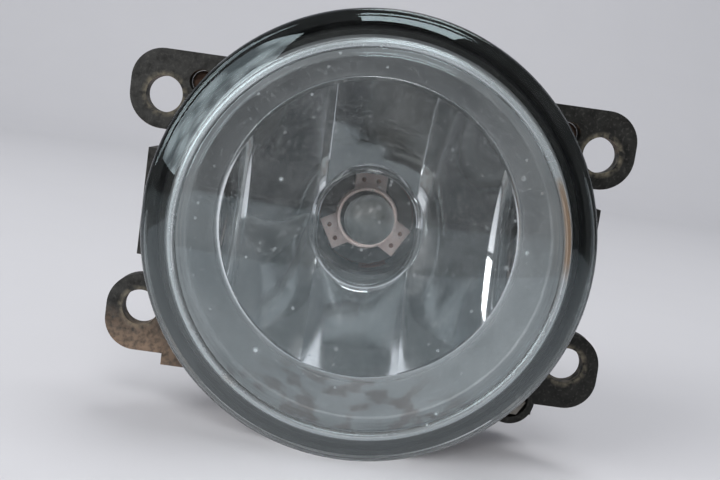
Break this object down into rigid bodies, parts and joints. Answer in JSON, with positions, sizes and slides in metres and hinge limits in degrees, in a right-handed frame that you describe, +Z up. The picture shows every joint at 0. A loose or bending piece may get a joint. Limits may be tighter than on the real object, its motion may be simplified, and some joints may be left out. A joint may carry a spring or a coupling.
{
  "type": "fog light",
  "caption": "Round sealed fog light with a domed clear lens and a strip reflector, tilting on pins in a frame with mounting ears; screw adjuster and bayonet bulb.",
  "frame": {"origin": "centre of the four ear holes, on the front face of the ears", "axes": "-Y out of the lens, along the direction of the light; +X to the right when facing the lens; +Z up"},
  "size_m": [0.1122, 0.0877, 0.095],
  "materials": {
    "lens_glass": "clear, polished, slightly dusty",
    "sealing_compound": "black sealing compound",
    "trim_metallised": "satin metallised plastic",
    "mirror_coating": "bright aluminised",
    "housing_plastic": "fine moulded texture",
    "membrane_felt": "breathable felt",
    "black_rubber": "matt rubber",
    "white_plastic": "natural acetal",
    "frame_plastic": "weathered glass-filled plastic with road dirt",
    "plated_steel": "zinc plated, dulled",
    "spring_steel": "dark spring steel",
    "bulb_glass": "clear quartz with a dark painted tip",
    "tungsten": "wound wire",
    "lead_wire": "bright wire",
    "collar_steel": "bright sheet with weld spots",
    "bulb_plastic": "black heat-proof plastic",
    "terminal_brass": "stamped, tinned at the tip",
    "red_rubber": "silicone ring"
  },
  "bodies": {
    "frame": {"mounting_frame": "frame_plastic", "pivot_pins": "plated_steel"},
    "lamp_unit": {"lens": "lens_glass", "lens_seal": "sealing_compound", "trim_ring": "trim_metallised", "reflector": "mirror_coating", "housing": "housing_plastic", "vent_membrane": "membrane_felt", "vent_cap": "black_rubber", "adjuster_nut": "white_plastic", "pivot_bushes": "white_plastic"},
    "adjuster": {"adjuster_screw": "plated_steel", "adjuster_washer": "spring_steel", "adjuster_clip": "spring_steel"},
    "bulb": {"bulb_capsule": "bulb_glass", "bulb_filament": "tungsten", "bulb_leads": "lead_wire", "bulb_collar": "collar_steel", "bulb_base": "bulb_plastic", "bulb_terminals": "terminal_brass", "bulb_o_ring": "red_rubber"}
  },
  "joints": [
    {"name": "lamp_tilt", "type": "hinge", "parent": "frame", "child": "lamp_unit", "pos_m": [0, 0.01005, 0], "axis": [1, 0, 0], "range_deg": [-4, 4]},
    {"name": "adjuster_turn", "type": "hinge", "parent": "frame", "child": "adjuster", "pos_m": [0.03738, 0, -0.03366], "axis": [0, 1, 0], "range_deg": [-500, 500]},
    {"name": "bulb_twist", "type": "hinge", "parent": "lamp_unit", "child": "bulb", "pos_m": [0, 0.03085, 0], "axis": [0, 0.9962, -0.0872], "range_deg": [0, 45]}
  ],
  "couplings": [
    {"joint": "adjuster_turn", "follows": "lamp_tilt", "ratio": -120.84}
  ]
}
